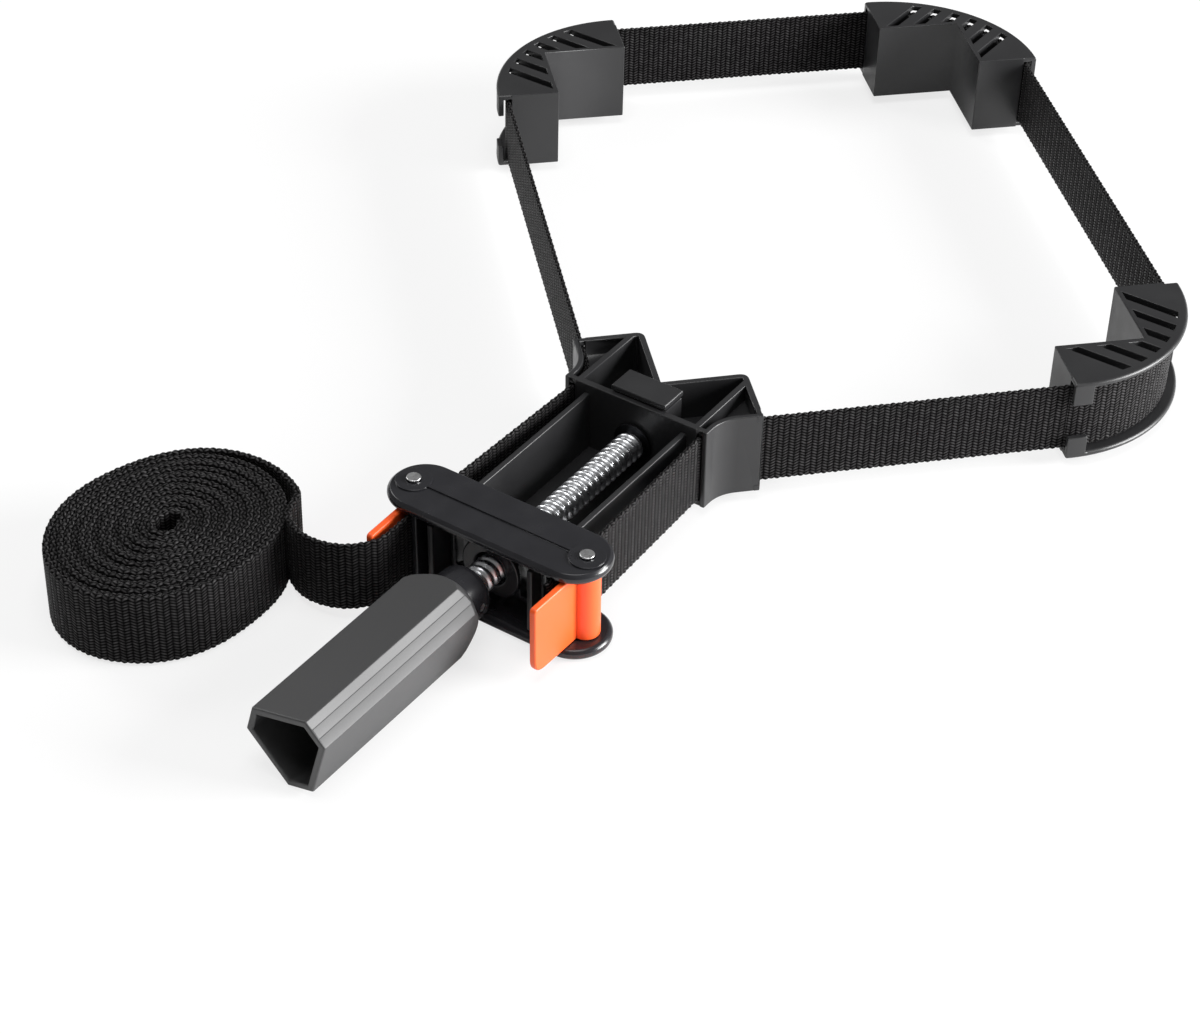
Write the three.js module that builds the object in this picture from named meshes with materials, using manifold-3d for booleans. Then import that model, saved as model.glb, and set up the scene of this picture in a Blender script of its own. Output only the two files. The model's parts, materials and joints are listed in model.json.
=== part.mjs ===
// A band clamp for frames and boxes. A strap of webbing runs round the four corners of the work.
// Three loose corner jaws and the front block of the screw tensioner carry it.
// Behind the front block a crosshead rides on two rails, and a screw with a handle pulls it back.
// A cam lever at each end of the crosshead grips the strap. The spare strap lies in a roll.
import * as THREE from 'three';
import { mergeVertices } from 'three/addons/utils/BufferGeometryUtils.js';
import Module from 'manifold-3d';

// Lengths are in millimetres and angles in degrees. +Z is up, and the clamp stands on z = 0.

// Shared clearances
const gap = 0.3; // between two pieces that touch or run on each other
const overrun = 1; // how far a cutter passes the face that it cuts
const weld = 0.4; // how far a wall reaches into the wall that it is moulded to

// The work that the clamp holds
const workWidth = 163; // along X
const workDepth = 220.5; // along Y

// Height of the jaws and the front block, and the strap between their plates. Heights are measured
// from the underside of the jaws here. The crosshead and the handle reach lower, to the surface that
// the clamp stands on, and z = 0 is set there at the end.
const height = 30;
const plate = 2.2; // top and bottom plates
const strapWidth = height - 2 * (plate + gap);
const strapThick = 1.4;
const strapLow = (height - strapWidth) / 2; // lower edge of the strap
const axisHeight = height / 2; // height of the screw at the notch
const toolDip = 1; // degrees, the tensioner leans down to its handle

// How far the middle of each straight run stands off the work
const besideStrap = strapThick / 2 + gap; // from the middle of the strap to what it runs on
const seatOff = 18; // ends of a jaw's seat
const runAtJaw = seatOff + besideStrap;
const runAtBlock = 20.8;

// Corner jaw
const jawLeg = 31; // each face of its notch
const seatRadius = jawLeg + seatOff; // curved wall that the strap bears on
const rimPast = 3.6; // the plates pass the strap by this much at the corner
const lipRoom = 0.9; // between the strap and the lips at the ends
const jawSlots = 6;
const slotPitch = 7.7;
const slotWidth = 3.2;
const slotDepth = 12;
const slotWall = 1.8; // plastic left between a slot and the faces round it
const rimWall = 3.4; // plastic left between a slot and the rim
const lipLength = 6.8; // hooked lips at the ends, which keep the strap in
const lipThick = 2;
const topLipDrop = 8.5;
const lowLipRise = 8.5;
const edgeRound = 0.7;

// Front block
const blockLeg = 28.5; // each face of its notch
const blockWall = 2.2;
const noseRound = 3.2; // rounded tip of each wing
const crossPlate = 2.5; // plate across the back of the block
const crossPlateBack = 15; // its rear face, behind the corner of the notch
const strapAtBlock = 24.4; // middle of the strap beside the cross plate, off the screw's axis
const keeperBend = 15; // inner radius of the keeper that turns the strap
const keeperThick = 1.8;
const bridge = 2.2; // strips that tie the keeper to the block above and below the strap
const ribThick = 2.2;
const webThick = 2;
const wingFloor = 22.2; // floor of the small cell at each wing
const bearingLength = 9.6;
const bearingWidth = 20.6;
const capThick = 2.2; // bare cap over the bearing
const capWall = 0.3; // the cap stands off the block by this much
const capReach = 10.6;

// Rails
const railSpacing = 37; // between the middles of the rails
const railThick = 2;
const railLow = 3.4; // the rails stop this far inside both faces of the front block
const railHigh = height - railLow;
const railEnd = 99; // rear end, behind the corner of the notch
const floorEnd = 60; // rear end of the floor between the rails
const floorThick = 2;

// Screw
const screwDiameter = 10;
const screwEnd = 115.4;
const journalDiameter = 7;
const journalStart = 5;
const washerDiameter = 14;
const washerThick = 1;
const ringDiameter = 10.6;
const ringThick = 1.2;
const ringPocket = 4.2;
const nutAcross = 16;
const nutLength = 8;

// Crosshead
const crossheadAt = 88.5; // middle, behind the corner of the notch
const crossheadProud = 1.6; // its plates stand past the faces of the front block by this much
const crossheadEdge = 1.1; // rounded edges of its plates
const pinSpread = 32.2; // each pin off the screw's axis
const crossheadRound = 11.7; // radius of its ends, half its width
const roundSpread = 27.9; // middle of each rounded end off the screw's axis
const crossheadWeb = 5;
const anvilThick = 2.2;
const anvilLength = 22;
const strapAtCam = 26.3; // middle of the strap at the cams, off the screw's axis
const bossRadius = 10.6;
const bossLength = 12;
const windowWidth = 5.6;
const windowHeight = 16;
const pinRadius = 1.6;
const headRadius = 2.3;
const headRise = 0.6;
const padRadius = 5.8; // raised pad round each pin
const padRise = 0.5;
const ridgeWidth = 1.2;

// Cam levers
const barrelRadius = 4.6;
const camOffset = 0.3; // the barrel's centre off its pin
const paddleLength = 25.3; // from the pin to the tip
const paddleThick = 2.3;
const paddleLean = 1.2; // degrees, the tip leans to the strap
const paddleInset = 2.2; // the paddle's inner face off the barrel's face
const paddleRound = 5;
const paddleEdgeRound = 1.5;

// Handle
const neckRadius = 9.2;
const neckStart = 104; // front end, behind the corner of the notch
const gripStart = 114;
const gripEnd = 190;
const gripFlat = 20.5; // broad sides of the grip
const gripCorner = 9.5; // narrow sides between them
const gripWall = 2.3;
const gripHollowStart = 125;
const shoulderLength = 7;
const gripTurn = 14; // degrees, how the handle stands at rest
const crossPinRadius = 1.5;
const crossPinAt = 109.5;

// Spare strap
const rollRadius = 36.5; // middle of the outermost turn
const rollPitch = 2.04;
const rollTurns = 16;
const rollLong = 3.8; // the outermost turn is this much longer one way and narrower the other
const rollLongTurn = 39; // degrees, the way that it is longer
const rollX = 161.1; // centre of the roll, left of the corner of the notch
const rollY = 39; // and in front of it
const rollLeaves = 14; // degrees, where the strap leaves the roll
const tailStraight = 21; // beyond the pin before the strap bends
const tailFirstHandle = 13;
const tailLastHandle = 35;
const strapEndPast = 14; // the other end of the strap, beyond its pin
const stepsPerTurn = 24;

// Materials
const plastic = (color, roughness) => new THREE.MeshStandardMaterial({ color, roughness, metalness: 0 });
const steel = (roughness) => new THREE.MeshStandardMaterial({ color: 0xb9bcc0, roughness, metalness: 1 });
const black = 0x2f3032;
const orange = 0xf9763b;
const webbing = 0x26262a;

// Making and joining solids
const wasm = await Module();
wasm.setup();

function solid(geometry) {
  geometry.deleteAttribute('normal');
  geometry.deleteAttribute('uv');
  const merged = mergeVertices(geometry, 1e-5);
  return new wasm.Manifold(new wasm.Mesh({
    numProp: 3,
    vertProperties: new Float32Array(merged.attributes.position.array),
    triVerts: new Uint32Array(merged.index.array),
  }));
}

function toGeometry(body) {
  const mesh = body.getMesh();
  const geometry = new THREE.BufferGeometry();
  geometry.setAttribute('position', new THREE.BufferAttribute(mesh.vertProperties, 3));
  geometry.setIndex(new THREE.BufferAttribute(mesh.triVerts, 1));
  geometry.computeVertexNormals();
  return geometry;
}

const join = (...bodies) => bodies.reduce((sum, body) => sum.add(body));
const cut = (body, ...cutters) => cutters.reduce((rest, cutter) => rest.subtract(cutter), body);

// An outline given as [x, y] corners, or a Shape, raised from low to high.
function prism(outline, low, high, bevel = 0) {
  const shape = outline instanceof THREE.Shape ? outline
    : new THREE.Shape(outline.map(([x, y]) => new THREE.Vector2(x, y)));
  const geometry = new THREE.ExtrudeGeometry(shape, {
    depth: high - low - 2 * bevel,
    bevelEnabled: bevel > 0,
    bevelThickness: bevel,
    bevelSize: bevel,
    bevelOffset: -bevel,
    bevelSegments: 1,
    curveSegments: 16,
  });
  return solid(geometry.translate(0, 0, low + bevel));
}

function box(x0, x1, y0, y1, z0, z1) {
  const geometry = new THREE.BoxGeometry(x1 - x0, y1 - y0, z1 - z0);
  return solid(geometry.translate((x0 + x1) / 2, (y0 + y1) / 2, (z0 + z1) / 2));
}

// A round bar along Z, or along X at a height.
function post(radius, x, y, low, high, sides = 28) {
  const geometry = new THREE.CylinderGeometry(radius, radius, high - low, sides).rotateX(Math.PI / 2);
  return solid(geometry.translate(x, y, (low + high) / 2));
}

function bar(radius, start, end, z = axisHeight, sides = 32) {
  const geometry = new THREE.CylinderGeometry(radius, radius, end - start, sides).rotateZ(Math.PI / 2);
  return solid(geometry.translate((start + end) / 2, 0, z));
}

const radians = THREE.MathUtils.degToRad;

// The group, and the tensioner's own frame: its +X runs back from the notch to the handle. It dips
// about the point where the screw's axis meets the corner of the notch.
const clamp = new THREE.Group();
const leaning = new THREE.Group();
leaning.position.z = axisHeight;
leaning.rotation.set(0, radians(toolDip), radians(225), 'ZYX');
clamp.add(leaning);
const tensioner = new THREE.Group();
tensioner.position.z = -axisHeight;
leaning.add(tensioner);

function add(name, body, material, parent = clamp) {
  const mesh = new THREE.Mesh(body.isBufferGeometry ? body : toGeometry(body), material);
  mesh.name = name;
  parent.add(mesh);
  return mesh;
}

// Strap standing on edge along a path of points. The lower edge may climb or dip along the path.
function ribbon(path, low = () => strapLow) {
  const position = [];
  const index = [];
  path.forEach((point, i) => {
    const before = path[Math.max(i - 1, 0)];
    const after = path[Math.min(i + 1, path.length - 1)];
    const along = after.clone().sub(before).normalize();
    const side = new THREE.Vector2(-along.y, along.x).multiplyScalar(strapThick / 2);
    const z = low(i / (path.length - 1), point);
    for (const [sign, top] of [[1, 0], [-1, 0], [-1, strapWidth], [1, strapWidth]]) {
      position.push(point.x + sign * side.x, point.y + sign * side.y, z + top);
    }
    if (i > 0) {
      for (let k = 0; k < 4; k += 1) {
        const a = 4 * (i - 1) + k;
        const b = 4 * (i - 1) + ((k + 1) % 4);
        index.push(a, a + 4, b, b, a + 4, b + 4);
      }
    }
  });
  const last = 4 * (path.length - 1);
  index.push(0, 1, 2, 0, 2, 3, last, last + 2, last + 1, last, last + 3, last + 2);
  const geometry = new THREE.BufferGeometry();
  geometry.setAttribute('position', new THREE.Float32BufferAttribute(position, 3));
  geometry.setIndex(index);
  geometry.computeVertexNormals();
  return geometry;
}

const straight = (x0, y0, x1, y1) => [new THREE.Vector2(x0, y0), new THREE.Vector2(x1, y1)];

// Corner jaws. One is drawn with the work in its lower left, so it is the back right jaw.
// The rim is the circle through the plates' two ends and the point furthest out on the diagonal.
const jawEnd = runAtJaw + besideStrap + lipRoom + lipThick;
const rimReach = runAtJaw + strapThick / 2 + rimPast - jawLeg * (Math.SQRT2 - 1);
const rimCentre = (jawEnd ** 2 + jawLeg ** 2 - rimReach ** 2)
  / (2 * (jawLeg + rimReach * Math.SQRT2 - jawEnd));
const rimRadius = rimReach + rimCentre * Math.SQRT2;

function cornerOutline(end, radius, centre) {
  const shape = new THREE.Shape();
  shape.moveTo(-jawLeg, 0);
  shape.lineTo(0, 0);
  shape.lineTo(0, -jawLeg);
  shape.lineTo(end, -jawLeg);
  const from = Math.atan2(centre - jawLeg, centre + end);
  shape.absarc(-centre, -centre, radius, from, Math.PI / 2 - from, false);
  shape.closePath();
  return shape;
}

function disc(radius, centre, low, high) {
  return post(radius, -centre, -centre, low, high, 120);
}

function jawBody() {
  const outline = cornerOutline(jawEnd, rimRadius, rimCentre);
  const core = prism(cornerOutline(seatOff, seatRadius, jawLeg), 0, height);
  const low = prism(outline, 0, plate, edgeRound);
  const top = prism(outline, height - plate, height, edgeRound);

  // Hooked lips stand along the rim at both ends.
  const rim = cut(prism(outline, 0, height), disc(rimRadius - lipThick, rimCentre, -overrun, height + overrun));
  const ends = join(
    box(-jawLeg - overrun, lipLength - jawLeg, 0, jawEnd + overrun, -overrun, height + overrun),
    box(0, jawEnd + overrun, -jawLeg - overrun, lipLength - jawLeg, -overrun, height + overrun),
  );
  const open = box(-rimRadius, rimRadius, -rimRadius, rimRadius, lowLipRise, height - topLipDrop);
  const lips = cut(rim.intersect(ends), open, disc(rimRadius - lipThick, rimCentre, 0, height));

  // Slots run square to the diagonal from the notch to the rim, with a rib on the diagonal itself.
  const body = join(core, low, top, lips.intersect(box(-rimRadius, rimRadius, -rimRadius, rimRadius,
    edgeRound, height - edgeRound)));
  const slots = [];
  for (let i = 0; i < jawSlots; i += 1) {
    const off = (i - (jawSlots - 1) / 2) * slotPitch;
    const bar0 = new THREE.BoxGeometry(rimRadius, slotWidth, height + overrun);
    bar0.translate(0, off, height / 2).rotateZ(Math.PI / 4);
    slots.push(solid(bar0));
  }
  const field = join(...slots);
  const inner = new THREE.Shape([
    new THREE.Vector2(-jawLeg + slotWall, slotWall), new THREE.Vector2(slotWall, slotWall),
    new THREE.Vector2(slotWall, -jawLeg + slotWall), new THREE.Vector2(rimRadius, -jawLeg + slotWall),
    new THREE.Vector2(rimRadius, rimRadius), new THREE.Vector2(-jawLeg + slotWall, rimRadius),
  ]);
  const inCore = disc(seatRadius - slotWall, jawLeg, -overrun, height + overrun);
  const inPlate = disc(rimRadius - rimWall, rimCentre, -overrun, height + overrun);
  const above = prism(inner, height - slotDepth, height + overrun);
  const aboveSeat = prism(inner, height - plate - overrun / 2, height + overrun);
  return cut(body, field.intersect(above).intersect(inCore), field.intersect(aboveSeat).intersect(inPlate));
}

// Strap in a jaw, from the run at its left end to the run at its lower end.
function jawStrap() {
  const path = [];
  const steps = 20;
  for (let i = 0; i <= steps; i += 1) {
    const turn = (Math.PI / 2) * (i / steps);
    const point = new THREE.Vector2(Math.sin(turn), Math.cos(turn)).multiplyScalar(jawLeg + runAtJaw);
    path.push(point.subScalar(jawLeg));
  }
  return ribbon(path);
}

const jawGeometry = toGeometry(jawBody());
const jaws = [
  ['back_right', workWidth, workDepth, 0],
  ['front_right', workWidth, 0, -90],
  ['back_left', 0, workDepth, 90],
];
for (const [place, x, y, turn] of jaws) {
  const corner = new THREE.Group();
  corner.position.set(x, y, 0);
  corner.rotation.z = radians(turn);
  clamp.add(corner);
  add(`jaw_${place}`, jawGeometry.clone(), plastic(black, 0.5), corner);
  add(`strap_${place}`, jawStrap(), plastic(webbing, 0.85), corner);
}

// Front block, drawn in the tensioner's frame: x back along the screw, y to its right, notch corner at 0.
const wingTip = blockLeg / Math.SQRT2;
const bendRadius = keeperBend + besideStrap; // middle of the strap in the keeper
const bendX = runAtBlock * Math.SQRT2 - strapAtBlock + bendRadius * (Math.SQRT2 - 1); // centre of the bend
const bendY = strapAtBlock + bendRadius;

// A line past the right wing, off the middle of the strap: in along the run, round the bend and out
// beside the cross plate. It starts in front of the wing's end and stops behind the cross plate.
function strapLine(off, more = 0) {
  const lead = (blockLeg + more) * Math.SQRT2;
  const run = (runAtBlock + off) * Math.SQRT2;
  const path = [new THREE.Vector2((run - lead) / 2, (run + lead) / 2)];
  const steps = 10;
  for (let i = 0; i <= steps; i += 1) {
    const turn = (Math.PI / 4) * (1 - i / steps);
    path.push(new THREE.Vector2(
      bendX - (bendRadius - off) * Math.sin(turn),
      bendY - (bendRadius - off) * Math.cos(turn),
    ));
  }
  path.push(new THREE.Vector2(crossPlateBack + more, strapAtBlock + off));
  return path;
}

const both = (body) => body.add(body.mirror([0, 1, 0]));
const corners = (path) => path.map((point) => [point.x, point.y]);
const railOuter = (railSpacing + railThick) / 2;
const railInner = (railSpacing - railThick) / 2;
const ribOuter = strapAtBlock - besideStrap;
const ribInner = ribOuter - ribThick;
const plateFront = crossPlateBack - crossPlate;

// The whole block without its keepers, seen from above.
function wingOutline() {
  const shape = new THREE.Shape();
  const round = noseRound * Math.SQRT1_2;
  shape.moveTo(0, 0);
  shape.lineTo(-wingTip + round, wingTip - round);
  shape.quadraticCurveTo(-wingTip, wingTip, -wingTip + round, wingTip + round);
  for (const point of strapLine(-besideStrap)) shape.lineTo(point.x, point.y);
  shape.lineTo(crossPlateBack, 0);
  shape.closePath();
  return shape;
}

function frontBlock() {
  const outline = wingOutline();
  const inset = blockWall * Math.SQRT2;
  const endInner = 2 * wingTip - inset; // y - x on the inner face of the wing's end
  const innerCell = prism([
    [inset, 0], [(inset - endInner) / 2, (inset + endInner) / 2], [ribInner - endInner, ribInner],
    [plateFront, ribInner], [plateFront, -overrun], [inset, -overrun],
  ], -overrun, height + overrun);
  const outerCell = prism([
    [ribOuter - endInner, ribOuter], [plateFront, ribOuter],
    [plateFront, 2 * wingTip], [2 * wingTip - endInner, 2 * wingTip],
  ], -overrun, height + overrun);
  const walls = cut(prism(outline, 0, height), innerCell, outerCell);
  const middleFloor = prism(outline, axisHeight - webThick / 2, axisHeight + webThick / 2)
    .intersect(box(-wingTip, plateFront + weld, -weld, ribInner + weld, 0, height));
  const outerFloor = prism(outline, wingFloor, wingFloor + webThick)
    .intersect(box(-wingTip, plateFront + weld, ribOuter - weld, 2 * wingTip, 0, height));

  // The keeper is a curved wall outside the strap, tied on by bridges over and under it.
  const keeper = prism([
    ...corners(strapLine(besideStrap)), ...corners(strapLine(besideStrap + keeperThick)).reverse(),
  ], 0, height);
  const inKeeper = besideStrap + keeperThick / 2;
  const atPlate = prism([
    [plateFront + weld, ribInner + weld], [crossPlateBack - weld / 2, ribInner + weld],
    [crossPlateBack - weld / 2, strapAtBlock + inKeeper], [plateFront + weld, strapAtBlock + inKeeper],
  ], 0, height);
  const across = new THREE.BoxGeometry(blockWall - weld, 2 * besideStrap + keeperThick + blockWall, height);
  across.translate(blockWall / 2 - blockLeg, 0, height / 2);
  across.translate(0, runAtBlock + keeperThick / 4 - blockWall / 4, 0).rotateZ(-Math.PI / 4);
  const between = box(-2 * wingTip, crossPlateBack + overrun, 0, 2 * wingTip, bridge, height - bridge);
  const ties = cut(join(atPlate, solid(across)), between);

  // Bearing for the screw's front end, with a pocket below for its retaining ring.
  const bearing = box(plateFront - bearingLength + weld, plateFront + weld, -weld, bearingWidth / 2, plate, height);
  const rail = box(plateFront + weld, railEnd, railInner, railOuter, railLow, railHigh);
  const railFloor = box(plateFront + weld, floorEnd, -weld, railInner + weld, railLow, railLow + floorThick);
  const half = join(walls, middleFloor, outerFloor, keeper, ties, bearing, rail, railFloor);
  const bore = bar(journalDiameter / 2 + gap, journalStart, crossPlateBack + overrun);
  const pocket = box(journalStart - gap, journalStart + ringPocket, -ringDiameter / 2 - gap,
    ringDiameter / 2 + gap, -overrun, axisHeight + ringDiameter / 2 + gap);
  return cut(both(half), bore, pocket);
}

add('front_block', frontBlock(), plastic(black, 0.5), tensioner);

const capBack = plateFront + crossPlate / 3;
add('bearing_cap', prism([
  [capBack - capReach, -bearingWidth / 2], [capBack, -bearingWidth / 2],
  [capBack, bearingWidth / 2], [capBack - capReach, bearingWidth / 2],
], height + capWall, height + capWall + capThick, edgeRound / 2), plastic(black, 0.5), tensioner);

// Strap in the keepers
const inKeepers = strapLine(0, overrun);
add('strap_keeper_right', ribbon(inKeepers), plastic(webbing, 0.85), tensioner);
const mirrored = inKeepers.map((point) => new THREE.Vector2(point.x, -point.y)).reverse();
add('strap_keeper_left', ribbon(mirrored), plastic(webbing, 0.85), tensioner);

// Screw, its washer, its retaining ring and its nut
const journal = journalDiameter / 2;
const shoulder = crossPlateBack + washerThick + 2 * gap;
const crossPin = new THREE.CylinderGeometry(1, 1, 1, 20);

function crossPinBody(extra, length) {
  const geometry = crossPin.clone().scale(crossPinRadius + extra, length, crossPinRadius + extra);
  return solid(geometry.translate(crossPinAt, 0, axisHeight));
}

add('screw', cut(join(
  bar(journal, journalStart, shoulder + weld),
  bar(screwDiameter / 2, shoulder, screwEnd),
), crossPinBody(gap / 2, 2 * neckRadius)), steel(0.3), tensioner);
add('thrust_washer', cut(
  bar(washerDiameter / 2, crossPlateBack + gap, crossPlateBack + gap + washerThick),
  bar(journal + gap, crossPlateBack, shoulder),
), steel(0.35), tensioner);
const ringStart = journalStart + overrun;
add('retaining_ring', cut(
  bar(ringDiameter / 2, ringStart, ringStart + ringThick),
  bar(journal + gap, ringStart - overrun, ringStart + ringThick + overrun),
), steel(0.4), tensioner);

const bossStart = crossheadAt - bossLength / 2 - overrun;

function hexagon(across, start, end) {
  const radius = across / Math.sqrt(3);
  const geometry = new THREE.CylinderGeometry(radius, radius, end - start, 6).rotateZ(Math.PI / 2);
  return solid(geometry.translate((start + end) / 2, 0, axisHeight));
}

add('screw_nut', cut(
  hexagon(nutAcross, bossStart, bossStart + nutLength),
  bar(screwDiameter / 2 + gap, bossStart - overrun, bossStart + nutLength + overrun),
), steel(0.4), tensioner);

// Crosshead
function stadium(radius) {
  const shape = new THREE.Shape();
  shape.absarc(crossheadAt, roundSpread, radius, 0, Math.PI, false);
  shape.absarc(crossheadAt, -roundSpread, radius, Math.PI, 2 * Math.PI, false);
  shape.closePath();
  return shape;
}

const anvilFace = strapAtCam - besideStrap;
const crossheadLow = -crossheadProud;
const crossheadTop = height + crossheadProud;

function crosshead() {
  const top = prism(stadium(crossheadRound), height - plate, crossheadTop, crossheadEdge);
  const low = prism(stadium(crossheadRound), crossheadLow, plate, crossheadEdge);
  const webFront = crossheadAt - crossheadWeb / 2;
  const webBack = crossheadAt + crossheadWeb / 2;
  const web = box(webFront, webBack, 0, anvilFace, plate - weld, height - plate + weld);
  const anvil = box(crossheadAt - anvilLength / 2, crossheadAt + anvilLength / 2, anvilFace - anvilThick,
    anvilFace, plate - weld, height - plate + weld);
  const pad = post(padRadius, crossheadAt, pinSpread, crossheadTop - weld, crossheadTop + padRise);
  const ridge = box(crossheadAt - ridgeWidth / 2, crossheadAt + ridgeWidth / 2, -weld, pinSpread,
    crossheadTop - weld, crossheadTop + padRise);
  const half = join(top, low, web, anvil, pad, ridge);
  const boss = bar(bossRadius, bossStart, bossStart + bossLength);

  const railSlot = box(webFront - overrun, webBack + overrun, railInner - gap, railOuter + gap,
    railLow - gap, railHigh + gap);
  const floorSlot = box(bossStart - overrun, bossStart + bossLength + overrun, -railInner, railInner,
    railLow - gap, railLow + floorThick + gap);
  const windowEdge = railInner - gap - ribThick;
  const window = box(webFront - overrun, webBack + overrun, windowEdge - windowWidth, windowEdge,
    axisHeight - windowHeight / 2, axisHeight + windowHeight / 2);
  const pinHole = post(pinRadius + gap, crossheadAt, pinSpread,
    crossheadLow - overrun, crossheadTop + padRise + overrun);
  const headSeat = post(headRadius + gap, crossheadAt, pinSpread,
    crossheadLow - overrun, crossheadLow + headRise + gap);
  const body = cut(both(half).add(boss), both(railSlot), floorSlot, both(window), both(pinHole), both(headSeat));
  const nutSeat = hexagon(nutAcross + 2 * gap, bossStart - overrun, bossStart + nutLength + gap);
  return cut(body, nutSeat, bar(screwDiameter / 2 + 2 * gap, bossStart - overrun, bossStart + bossLength + overrun));
}

add('crosshead', crosshead(), plastic(black, 0.5), tensioner);

// Rivet pins, each with a head above the top plate and one let into the bottom plate
function rivet(side) {
  const top = crossheadTop + padRise + gap;
  const low = crossheadLow + headRise;
  return join(
    post(pinRadius, crossheadAt, side * pinSpread, low - weld / 2, top + headRise / 2),
    post(headRadius, crossheadAt, side * pinSpread, crossheadLow, low),
    post(headRadius, crossheadAt, side * pinSpread, top, top + headRise),
  );
}

add('rivet_right', rivet(1), steel(0.25), tensioner);
add('rivet_left', rivet(-1), steel(0.25), tensioner);

// Cam lever for the right side: an eccentric barrel on the pin and a paddle that points back.
function lever() {
  const low = plate + gap;
  const high = height - plate - gap;
  const barrel = post(barrelRadius, 0, -camOffset, low, high);
  const shape = new THREE.Shape();
  shape.moveTo(0, low);
  shape.lineTo(paddleLength - paddleRound, low);
  shape.quadraticCurveTo(paddleLength, low, paddleLength, low + paddleRound);
  shape.lineTo(paddleLength, high - paddleEdgeRound);
  shape.quadraticCurveTo(paddleLength, high, paddleLength - paddleEdgeRound, high);
  shape.lineTo(0, high);
  shape.closePath();
  const geometry = new THREE.ExtrudeGeometry(shape, {
    depth: paddleThick - edgeRound,
    bevelEnabled: true,
    bevelThickness: edgeRound / 2,
    bevelSize: edgeRound / 2,
    bevelOffset: -edgeRound / 2,
    bevelSegments: 1,
    curveSegments: 6,
  });
  geometry.translate(0, 0, edgeRound / 2).rotateX(Math.PI / 2);
  geometry.translate(0, paddleThick + paddleInset - barrelRadius - camOffset, 0).rotateZ(-radians(paddleLean));
  const hole = post(pinRadius + gap, 0, 0, low - overrun, high + overrun);
  return cut(barrel.add(solid(geometry)), hole);
}

const leverGroups = [['lever_right', 1], ['lever_left', -1]];
for (const [name, side] of leverGroups) {
  const body = side > 0 ? lever() : lever().mirror([0, 1, 0]);
  const mesh = add(name, body, plastic(orange, 0.45), tensioner);
  mesh.position.set(crossheadAt, side * pinSpread, 0);
}

// Strap along the tensioner, from the keepers to the cams
const keeperOut = crossPlateBack + overrun + gap;
const camIn = crossheadAt - anvilLength / 2;
for (const [name, side] of [['strap_tool_right', 1], ['strap_tool_left', -1]]) {
  add(name, ribbon(straight(keeperOut, side * strapAtBlock, camIn, side * strapAtCam)),
    plastic(webbing, 0.85), tensioner);
}
add('strap_end_right', ribbon(straight(camIn + gap, strapAtCam, crossheadAt + strapEndPast, strapAtCam)),
  plastic(webbing, 0.85), tensioner);

// Handle: a neck on the screw and a hollow three-sided grip with blunt corners
function gripOutline(inset) {
  const side = gripFlat + 2 * gripCorner;
  const toFlat = side / (2 * Math.sqrt(3)) - inset;
  const toCorner = side / Math.sqrt(3) - gripCorner * Math.cos(Math.PI / 6) - inset;
  const shape = [];
  for (let i = 0; i < 3; i += 1) {
    const flat = Math.PI / 2 + (i * 2 * Math.PI) / 3;
    for (const turn of [-Math.PI / 3, Math.PI / 3]) {
      // The point where a broad side meets a narrow one
      const corner = flat + turn;
      const along = (toCorner - toFlat * Math.cos(turn)) / Math.sin(turn);
      shape.push([
        toFlat * Math.cos(flat) - along * Math.sin(flat),
        toFlat * Math.sin(flat) + along * Math.cos(flat),
        corner,
      ]);
    }
  }
  return shape.map(([x, y]) => [x, y]);
}

// A prism along +X round the screw's axis
function alongScrew(outline, start, end, bevel = 0) {
  const shape = new THREE.Shape(outline.map(([x, y]) => new THREE.Vector2(x, y)));
  const geometry = new THREE.ExtrudeGeometry(shape, {
    depth: end - start - bevel,
    bevelEnabled: bevel > 0,
    bevelThickness: bevel,
    bevelSize: bevel,
    bevelOffset: -bevel,
    bevelSegments: 2,
  });
  geometry.rotateZ(Math.PI / 2 + radians(gripTurn)).rotateY(Math.PI / 2);
  return solid(geometry.translate(start, 0, axisHeight));
}

function handle() {
  const shoulderRadius = gripFlat; // larger than the grip's corners
  const profile = [
    [0, gripStart - 2 * overrun], [neckRadius - overrun, gripStart - 2 * overrun],
    [neckRadius + overrun, gripStart], [neckRadius + 5 * overrun, gripStart + shoulderLength / 2],
    [shoulderRadius, gripStart + 2 * shoulderLength],
    [shoulderRadius, gripEnd + overrun], [0, gripEnd + overrun],
  ].map(([r, x]) => new THREE.Vector2(r, x));
  const shoulderForm = solid(new THREE.LatheGeometry(profile, 36).rotateZ(-Math.PI / 2)
    .translate(0, 0, axisHeight));
  const grip = alongScrew(gripOutline(0), gripStart - overrun, gripEnd, edgeRound).intersect(shoulderForm);
  const neckProfile = [
    [0, neckStart], [neckRadius - 2 * overrun, neckStart], [neckRadius - overrun / 2, neckStart + overrun],
    [neckRadius, neckStart + 3 * overrun], [neckRadius, gripStart + weld], [0, gripStart + weld],
  ].map(([r, x]) => new THREE.Vector2(r, x));
  const neck = solid(new THREE.LatheGeometry(neckProfile, 36).rotateZ(-Math.PI / 2)
    .translate(0, 0, axisHeight));
  const hollow = alongScrew(gripOutline(gripWall), gripHollowStart, gripEnd + overrun);
  const bore = bar(screwDiameter / 2 + gap, neckStart - overrun, screwEnd + gap);
  return cut(join(grip, neck), hollow, bore, crossPinBody(gap / 2, 3 * neckRadius));
}

add('handle', handle(), plastic(0x4a4b4d, 0.45), tensioner);
add('handle_pin', crossPinBody(0, 2 * neckRadius - overrun), steel(0.4), tensioner);

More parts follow.
